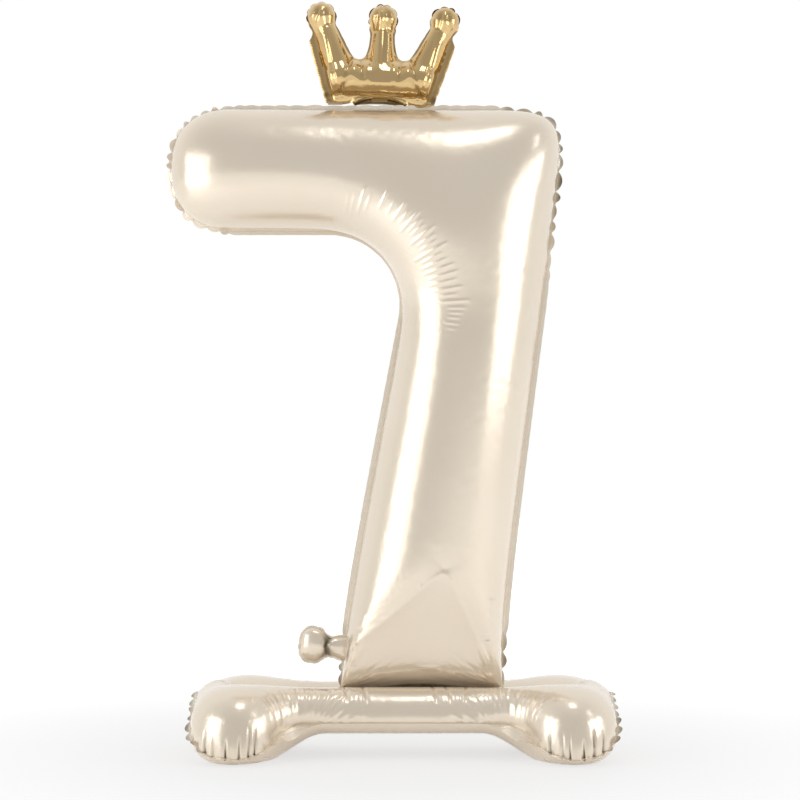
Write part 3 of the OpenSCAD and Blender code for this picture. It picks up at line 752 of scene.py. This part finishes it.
# Short ticks beside the foot's left and right edges
for i in range(4):
    lines.append((-0.034 - 0.001 * i, 0.154 - 0.0035 * i, -0.024 - 0.001 * i, 0.1535 - 0.0035 * i, 0.0009))
for i in range(3):
    lines.append((-0.041, 0.134 - 0.0038 * i, -0.031, 0.1335 - 0.0038 * i, 0.0009))
for i in range(11):
    lines.append((0.108 - 0.0006 * i, 0.171 - 0.0041 * i, 0.117 - 0.0006 * i, 0.171 - 0.0041 * i, 0.0008))
folds = ((0.098, 0.125, 0.108, 0.098, 0.0014), (0.029, 0.097, 0.058, 0.0965, 0.0006),
         (0.169, 0.600, 0.160, 0.430, -0.0010), (0.185, 0.600, 0.174, 0.420, 0.0008),
         (-0.028, 0.125, -0.040, 0.098, 0.0010))
facet_edges = ((-0.050, 0.112, 0.060, 0.206, 0.0040), (0.060, 0.206, 0.116, 0.086, 0.0040))
for faces in number_panels:
    crease(number_done, faces, number_done[:, ::2], lines, 0.0013)
for faces in number_panels:
    crease(number_done, faces, number_done[:, ::2], folds, 0.0026)
    crease(number_done, faces, number_done[:, ::2], facet_edges, 0.010, "ridge")
# Painted shadow: the film is painted dark in the low arch over the bottom seam, where the gap above the base
# lies in shade
arch = 0.0060 * np.clip(1 - ((number_plan[:, 0] - number_x) / (0.44 * foot_w)) ** 2, 0, 1)
gap_dark = 0.9 * ease((arch + 0.0015 - up) / 0.003) * (arch > 0)
number_dark[:len(number_pts)] += gap_dark * ~number_shared
number_dark[number_back_ids] += gap_dark * ~number_shared
number_front_foil = foil("number_front", number_done, number_panels[0], number_rings, (0, -1, 0), number_dark)
number_back_foil = foil("number_back", number_done, number_panels[1], number_rings, (0, 1, 0), number_dark)
for piece, node in ((number_front_foil, "number_front_foil"), (number_back_foil, "number_back_foil")):
    piece.data.materials.append(pearl)
    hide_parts(node)
    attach(piece, "number")


# Inflation tail: the two sheets of the number run out into a short round pocket at the stem's lower left.
# A straw blows the number up through it, and its narrow neck lets it fold to either side.
fold_x, fold_z = -0.0563819, 0.116852
tail_out, tail_up = np.array([-0.99378, 0.1114]), np.array([0.1114, 0.99378])
neck_deep, tail_deep = 0.0075, 0.0110
tail_border, tail_ease, tail_step = 0.0025, 0.005, 0.0018
# Half of the tail's outline in mm: along it from the fold, and out from its middle
tail_half = np.array([
    (-12, 12.5), (-6, 12.5), (-1, 12), (5, 10.8), (10, 10), (14, 10.4), (17.5, 13.6), (21, 17), (26, 18.7),
    (32, 18.7), (37.5, 17), (41.2, 13), (43, 7), (43.6, 0)]) / 1000


def rounded(corners, step):
    # A smooth closed line through given points
    before, after, second = np.roll(corners, 1, 0), np.roll(corners, -1, 0), np.roll(corners, -2, 0)
    t = np.linspace(0, 1, 12, endpoint=False)[None, :, None]
    a, b, c, d = (x[:, None, :] for x in (before, corners, after, second))
    line = 2 * b + (c - a) * t + (2 * a - 5 * b + 4 * c - d) * t ** 2 + (3 * b - a - 3 * c + d) * t ** 3
    line = 0.5 * line
    return walk(line.reshape(-1, 2), step)[0]


tail_loop = np.vstack([tail_half, (tail_half * [1, -1])[-2::-1]])
tail_loop = rounded(tail_loop, 0.001) * [-1, 1]
tail_loop = tail_loop[::-1] if (outward(tail_loop) * tail_loop).sum() < 0 else tail_loop
tail_seam = np.array([fold_x, fold_z]) - tail_loop[:, :1] * tail_out + tail_loop[:, 1:] * tail_up
tail_cut = tail_seam + outward(tail_seam) * tail_ease
tail_cut, tail_seam = walk(tail_cut, tail_step, tail_seam)
tail_pts, tail_faces = cut_panel(tail_cut, tail_step)
tail_n = len(tail_cut)
tail_shared = np.arange(len(tail_pts)) < tail_n
tail_moves = np.zeros((len(tail_pts), 3))
tail_moves[:tail_n, :2] = tail_seam - tail_cut
tail_plan, _, tail_across = swell(tail_pts, tail_faces, tail_shared, tail_moves, bow_ratio)
along_tail = (tail_plan - [fold_x, fold_z]) @ tail_out
tail_swell = mix(neck_deep, tail_deep, ease((along_tail - 0.002) / 0.014))
tail_front = stand(tail_plan, -tail_swell * np.cos(tail_across * np.pi / 2))
tail_rims = [stand(tail_seam + outward(tail_seam) * tail_border * k / 2) for k in (1, 2)]
near_seam = gap_to(tail_pts, tail_cut)
tail_slack = np.exp(-(near_seam / 0.006) ** 2)
tail_done, tail_back_ids, tail_panels, tail_rings = inflate(
    "tail_film", tail_faces, tail_front, tail_front * [1, -1, 1], tail_shared, tail_rims, tail_slack,
    np.where(tail_shared, seam_grip, 0.0), growth=0.15, pressure=4, frames=14)
tail_dark = pucker(
    stand(tail_seam), tail_rings, tail_done, tail_panels, np.full(tail_n, 0.3), np.full(tail_n, 0.012),
    stand(outward(tail_seam)), (0, 1, 0), 5)
# Painted shade darkens the neck, which has three creases across it
neck_shade = 0.4 * np.exp(-((along_tail - 0.0150) / 0.0035) ** 2)
tail_dark[:len(tail_pts)] += neck_shade
tail_dark[tail_back_ids[tail_n:]] += neck_shade[tail_n:]
neck_at = np.array([fold_x, fold_z]) + tail_out * 0.0125
lines = []
for start, end, lean, height in ((-15, 3, 2.5, -3.0), (-2, 15, -3.5, -2.6), (-12, 14, 5.0, -1.6)):
    (x1, z1), (x2, z2) = (neck_at + tail_out * s * lean / 1000 + tail_up * u / 1000
                          for s, u in ((-1, start), (1, end)))
    lines.append((x1, z1, x2, z2, height / 1000))
# More painted shade along the creases' sunken lines
for faces in tail_panels:
    tail_dark += 0.7 * np.clip(-crease(tail_done, faces, tail_done[:, ::2], lines, 0.0024) / 0.0022, 0, 1)
tail_front_foil = foil("tail_front", tail_done, tail_panels[0], tail_rings, (0, -1, 0), tail_dark)
tail_back_foil = foil("tail_back", tail_done, tail_panels[1], tail_rings, (0, 1, 0), tail_dark)
for piece, node in ((tail_front_foil, "tail_front_foil"), (tail_back_foil, "tail_back_foil")):
    piece.data.materials.append(pearl)
    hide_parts(node)
    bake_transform(piece)


# Crown: two sheets of mirror gold film cut to three prongs with ball tips, heat-sealed and blown up on
# their own. Two tacks hold its bottom corners on the number's top edge.
crown_x, crown_z, crown_lean = -0.0115, 0.7286, math.radians(2.5)
ball_x, ball_z, ball_r = 70, 96, 16.5
crown_border, ball_border, side_border = 0.0018, 0.0010, 0.0095
crown_ease, crown_seam_step, crown_step, ridge_step, crown_bow = 0.0065, 0.0017, 0.0016, 0.0009, 0.66
crown_film = 0.0002
# Half of the crown's outline in mm, from the tip of the middle prong round to the middle of the bottom edge
crown_half = [(ball_r * math.cos(math.radians(a)), ball_z + ball_r * math.sin(math.radians(a)))
              for a in range(90, -31, -15)]
crown_half += [(13.2, 82.5), (12.2, 76), (13, 67), (14.4, 59), (16.8, 52.5), (20.8, 48.2), (26, 46.8),
               (31, 48.6), (35.6, 53.5), (40.3, 61.5), (45.5, 71), (50, 79), (53, 84.5)]
crown_half += [(ball_x + ball_r * math.cos(math.radians(a)), ball_z + ball_r * math.sin(math.radians(a)))
               for a in range(195, -46, -15)]
crown_half += [(79, 81), (75.8, 75), (72.2, 64), (68, 50), (63.2, 35), (58.8, 21.5), (55, 10), (52.6, 2.2),
               (50, -0.8), (45, -1.4), (38, -0.6), (32.5, 1.0), (28.5, 4.4), (22, 6.4), (11, 7.5), (0, 7.8)]
crown_half = np.array(crown_half) / 1000
crown_loop = rounded(np.vstack([crown_half, (crown_half * [-1, 1])[-2:0:-1]]), 0.001)


def crown_to(p):
    # A point of the crown's own drawing, leaned and put in its place
    c, s = math.cos(crown_lean), math.sin(crown_lean)
    return np.stack([crown_x + p[..., 0] * c + p[..., 1] * s, crown_z - p[..., 0] * s + p[..., 1] * c], -1)


crown_cut = crown_loop + outward(crown_loop) * crown_ease
crown_cut, crown_loop = walk(crown_cut, crown_seam_step, crown_loop)


def crown_fine(p):
    # Where the film stands up in narrow ridges: along the middle prong and beside the two slanted edges
    slant = np.abs(np.abs(p[:, 0]) - 0.0425 - 0.256 * p[:, 1])
    return (np.abs(p[:, 0]) < 0.004) & (p[:, 1] > 0.04) | (slant < 0.004) & (p[:, 1] < 0.085)


crown_pts, crown_faces = cut_panel(crown_cut, crown_step, [(ridge_step, crown_fine)])
crown_n = len(crown_cut)
crown_shared = np.arange(len(crown_pts)) < crown_n
crown_moves = np.zeros((len(crown_pts), 3))
crown_moves[:crown_n, :2] = crown_loop - crown_cut
crown_plan, _, crown_across = swell(crown_pts, crown_faces, crown_shared, crown_moves, crown_bow)
# Round limbs along the prongs and the band, each from one point and radius to another in mm, flow together
limbs = [(0, 26, 17, 0, 90, 11), (0, 96, 16, 0, 96.1, 16), (-46, 27, 19, 46, 27, 19)]
for side in (-1, 1):
    limbs += [(side * 42, 27, 17, side * 68, 90, 11), (side * 70, 96, 16, side * 70, 96.1, 16),
              (side * 48, 2, 1.5, side * 44, 24, 14)]
crown_out = np.zeros(len(crown_pts))
for x1, z1, r1, x2, z2, r2 in limbs:
    a, way = np.array([x1, z1]) / 1000, np.array([x2 - x1, z2 - z1]) / 1000
    t = np.clip((crown_plan - a) @ way / (way @ way), 0, 1)
    r = mix(r1, r2, t) / 1000
    d = np.linalg.norm(crown_plan - a - t[:, None] * way, axis=1)
    crown_out += np.maximum(0, r * r - d * d) ** 3
crown_out = crown_out ** (1 / 6) * np.clip(6 * (1 - crown_across), 0, 1)
crown_out = np.maximum(crown_out, 0.004 * np.cos(crown_across * np.pi / 2))
for _ in range(5):
    others = crown_out[crown_faces].sum(1, keepdims=True) - crown_out[crown_faces]
    around = np.bincount(crown_faces.ravel(), others.ravel()) / np.bincount(crown_faces.ravel()) / 2
    crown_out = np.where(crown_shared, 0, mix(crown_out, around, 0.6))
crown_at = crown_to(crown_plan)
crown_front = stand(crown_at, -crown_out)
crown_back = crown_front * [1, -1, 1]
# The bottom edge is arched, and the back panel hangs behind the arch
under = ease((0.034 - np.abs(crown_plan[:, 0])) / 0.006) * (crown_plan[:, 1] < 0.03)
hang = under * np.sin(np.pi * np.clip(crown_across, 0, 1)) * ease((crown_across - 0.25) / 0.3)
crown_back[:, 2] -= 0.013 * hang
crown_front[:, 1] -= 0.003 * under * crown_across ** 2
crown_back[:, 1] -= 0.003 * under * crown_across ** 2
crown_seam = crown_to(crown_loop)
crown_away = outward(crown_seam)
on_side = ease((np.abs(crown_loop[:, 0]) - 0.050) / 0.003) * ease((0.080 - crown_loop[:, 1]) / 0.012)
on_ball = ease((crown_loop[:, 1] - 0.082) / 0.01)
border = mix(mix(np.full(crown_n, crown_border), ball_border, on_ball), side_border, on_side)
crown_rims = []
for k, curl in ((1, -0.0011), (2, 0.0008)):
    rim = crown_seam + crown_away * border[:, None] * k / 2
    crown_rims.append(stand(rim, crown_front[:crown_n, 1] + curl * on_side))
near_seam = gap_to(crown_pts, crown_cut)
crown_slack = np.exp(-(near_seam / 0.008) ** 2)
crown_done, crown_back_ids, crown_panels, crown_rings = inflate(
    "crown_film", crown_faces, crown_front, crown_back, crown_shared, crown_rims, crown_slack,
    np.where(crown_shared, 0.6, 0.0), growth=0.2, pressure=8, frames=18)
# Painted shade and painted dark reflections on the ball tips' border and the foot of each side strip
crown_painted_dark = 0.45 * on_ball + 0.8 * on_side * ease((0.022 - crown_loop[:, 1]) / 0.012)
crown_dark = pucker(
    stand(crown_seam, crown_front[:crown_n, 1]), crown_rings, crown_done, crown_panels, 0.10 + 0.75 * on_ball,
    np.full(crown_n, 0.013), stand(crown_away), (0, 1, 0), 11, painted_dark=crown_painted_dark)
# Marks in the film, each from one point to another of the drawing, with its height, in mm
crown_creases = (
    (-24, 50, -20, 23, -1.9), (24, 50, 20, 23, -1.9), (33, 50, 41, 21, -1.8), (-33, 50, -41, 21, -1.8),
    (-50, 0, -67, 82, 1.3), (50, 0, 67, 82, 1.3), (-50, 2, -32, 27, -1.6), (50, 2, 32, 27, -1.6),
    (-8, 78, -6, 104, -1.8), (8, 78, 6, 104, -1.8), (62, 82, 66, 106, -1.8), (76, 84, 73, 106, -1.6),
    (-78, 84, -72, 106, -1.8), (-63, 82, -66, 104, -1.6), (0, 102, 0, 116, -1.2))
crown_ridges = (
    (-14, 52, -15, 16, 1.6), (14, 52, 15, 16, 1.6), (-31, 50, -29, 14, 1.6),
    (31, 50, 29, 14, 1.6), (-30, 19, 30, 19, 1.8))
crown_lines = ((-44, 6, -64, 84, 1.3), (44, 6, 64, 84, 1.3))
crown_pleat = ((0, 34, 0, 120, 0.95),)
for marks, half_width, form in (
        (crown_creases, 0.0026, "round"), (crown_ridges, 0.0042, "ridge"), (crown_lines, 0.0016, "round"),
        (crown_pleat, 0.0036, "pleat")):
    lines = []
    for x1, z1, x2, z2, height in marks:
        (x1, z1), (x2, z2) = crown_to(np.array([[x1, z1], [x2, z2]]) / 1000)
        lines.append((x1, z1, x2, z2, height / 1000))
    for faces in crown_panels:
        risen = crease(crown_done, faces, crown_done[:, ::2], lines, half_width, form)
        # Painted shade along the sunken creases
        crown_dark += 0.3 * np.clip(-risen / 0.002, 0, 1)
# Painted shadow: the back panel hanging behind the arch is painted dark, for the hollow under the crown
crown_hollow_shade = np.zeros(len(crown_done))
crown_hollow_shade[crown_back_ids] = np.where(crown_shared, 0, hang)
crown_dark = np.maximum(crown_dark, np.clip(1.6 * crown_hollow_shade, 0, 1))
crown_front_foil = foil(
    "crown_front", crown_done, crown_panels[0], crown_rings, (0, -1, 0), crown_dark, crown_film)
crown_back_foil = foil(
    "crown_back", crown_done, crown_panels[1], crown_rings, (0, 1, 0), crown_dark, crown_film)
# The gold's fifth colour is its painted shade and painted dark reflection colour
gold = foil_finish("gold_foil", (0.60, 0.425, 0.20), (0.68, 0.495, 0.255), (0.50, 0.345, 0.155),
                   (0.10, 0.065, 0.022), 1.0, 0.09, 0.13, 0.00015, 0.0)
for piece, node in ((crown_front_foil, "crown_front_foil"), (crown_back_foil, "crown_back_foil")):
    piece.data.materials.append(gold)
    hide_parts(node)
    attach(piece, "crown")


# Valves, inlet sleeve and tacks: each chamber closes with two thin milky films that the air presses
# together, the straw goes in through a sleeve of the same film, and soft glue holds the balloons together.
def clear_finish(title, colour, roughness, grain, depth):
    material, tree, shader = new_material(title, colour, 0.0, roughness)
    shader.inputs["Transmission Weight"].default_value = 0.3
    shader.inputs["IOR"].default_value = 1.3
    spot, noise, bump = (tree.nodes.new(kind) for kind in (
        "ShaderNodeTexCoord", "ShaderNodeTexNoise", "ShaderNodeBump"))
    noise.inputs["Scale"].default_value = grain
    bump.inputs["Distance"].default_value = depth
    tree.links.new(spot.outputs["Object"], noise.inputs["Vector"])
    tree.links.new(noise.outputs["Fac"], bump.inputs["Height"])
    tree.links.new(bump.outputs["Normal"], shader.inputs["Normal"])
    return material


clear_film = clear_finish("clear_film", (0.90, 0.86, 0.79), 0.25, 140, 0.0002)
amber_film = clear_finish("amber_film", (0.42, 0.27, 0.09), 0.12, 140, 0.0002)
clear_glue = clear_finish("clear_glue", (0.60, 0.47, 0.28), 0.30, 320, 0.0003)
inner_finish = {node: clear_film for node in (
    "base_valve_upper_film", "base_valve_lower_film", "number_valve_front_film", "number_valve_back_film",
    "tail_inlet_sleeve")}
inner_finish["crown_valve_front_film"] = inner_finish["crown_valve_back_film"] = amber_film
inner_finish["number_tacks"] = inner_finish["crown_tacks"] = clear_glue
for node, finish in inner_finish.items():
    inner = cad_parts[node]
    inner.data.materials.clear()
    inner.data.materials.append(finish)


# Stage: a white floor that runs up to a white surround, soft boxes at the left, the right and above, and
# the photograph's view. The surround is darker on the camera's side, as a room behind a camera is.
floor_grey, floor_seen = (0.86, 0.86, 0.86), (0.24, 0.24, 0.24)
room_near, room_far, sky_far = 0.57, 0.80, 1.0
room_start, room_end = -0.75, 0.35
bpy.ops.mesh.primitive_plane_add(size=30, location=(0, 0, 0))
floor = bpy.context.object
floor.name = "floor"
floor_paint, floor_tree, floor_shader = new_material("floor_white", floor_grey, 0, 0.7)
floor_shader.inputs["Specular IOR Level"].default_value = 0.1
floor_shader.inputs["Emission Color"].default_value = (1, 1, 1, 1)


def ramp(tree, value, low, high, first, last):
    # A value that goes from first to last as another one goes from low to high
    node = tree.nodes.new("ShaderNodeMapRange")
    node.inputs["From Min"].default_value, node.inputs["From Max"].default_value = low, high
    node.inputs["To Min"].default_value, node.inputs["To Max"].default_value = first, last
    tree.links.new(value, node.inputs["Value"])
    return node.outputs["Result"]


spot = floor_tree.nodes.new("ShaderNodeTexCoord")
far = floor_tree.nodes.new("ShaderNodeVectorMath")
far.operation = "LENGTH"
floor_tree.links.new(spot.outputs["Object"], far.inputs[0])
seen = floor_tree.nodes.new("ShaderNodeLightPath").outputs
floor_colour = tinted(floor_tree, seen["Is Camera Ray"], floor_grey, floor_seen)
floor_tree.links.new(floor_colour, floor_shader.inputs["Base Color"])
straight = join(floor_tree, "MAXIMUM", seen["Is Camera Ray"], seen["Is Transmission Ray"])
mirrored = join(floor_tree, "MULTIPLY", seen["Is Glossy Ray"], 0.5)
glow = ramp(floor_tree, far.outputs["Value"], 0.25, 1.5, 0.66, 1.0)
glow = join(floor_tree, "MULTIPLY", glow, join(floor_tree, "MAXIMUM", straight, mirrored))
floor_tree.links.new(glow, floor_shader.inputs["Emission Strength"])
floor.data.materials.append(floor_paint)


def soft_box(title, place, aim, size, power):
    lamp = bpy.data.lights.new(title, "AREA")
    lamp.shape, lamp.size, lamp.size_y, lamp.energy = "RECTANGLE", *size, power
    holder = bpy.data.objects.new(title, lamp)
    bpy.context.collection.objects.link(holder)
    holder.location = place
    holder.rotation_euler = (Vector(aim) - Vector(place)).to_track_quat("-Z", "Y").to_euler()


soft_box("left_box", (-1.55, -1.05, 0.66), (0, 0, 0.45), (1.30, 1.15), 9)
soft_box("right_box", (1.72, -0.90, 0.66), (0, 0, 0.5), (1.25, 0.70), 6.4)
soft_box("high_box", (1.62, -0.95, 1.66), (0, 0, 0.78), (0.14, 0.60), 0.8)
soft_box("top_box", (0.22, -0.75, 2.1), (0.1, 0, 0.4), (0.42, 0.50), 2.6)
world = bpy.data.worlds.new("studio")
bpy.context.scene.world = world
world.use_nodes = True
tree = world.node_tree
sky = tree.nodes["Background"]
way = tree.nodes.new("ShaderNodeTexCoord")
axes = tree.nodes.new("ShaderNodeSeparateXYZ")
tree.links.new(way.outputs["Generated"], axes.inputs[0])
seen = tree.nodes.new("ShaderNodeLightPath").outputs
straight = join(tree, "MAXIMUM", seen["Is Camera Ray"], seen["Is Transmission Ray"])
sky_glow = ramp(tree, axes.outputs["Y"], room_start, room_end, room_near, sky_far)
mirrored = join(tree, "MULTIPLY", seen["Is Glossy Ray"], sky_glow)
room = ramp(tree, axes.outputs["Y"], room_start, room_end, room_near, room_far)
white = join(tree, "MAXIMUM", straight, join(tree, "MAXIMUM", mirrored, room))
tree.links.new(white, sky.inputs["Strength"])
sky.inputs["Color"].default_value = (1, 1, 1, 1)
camera_data = bpy.data.cameras.new("camera")
camera = bpy.data.objects.new("camera", camera_data)
bpy.context.collection.objects.link(camera)
camera_data.lens = 88.3
camera.location = (0.0116, -2.2, 0.30)
camera.rotation_euler = (math.radians(90 + 2.43), 0, 0)
bpy.context.scene.camera = camera
bpy.context.scene.view_settings.view_transform = "Standard"
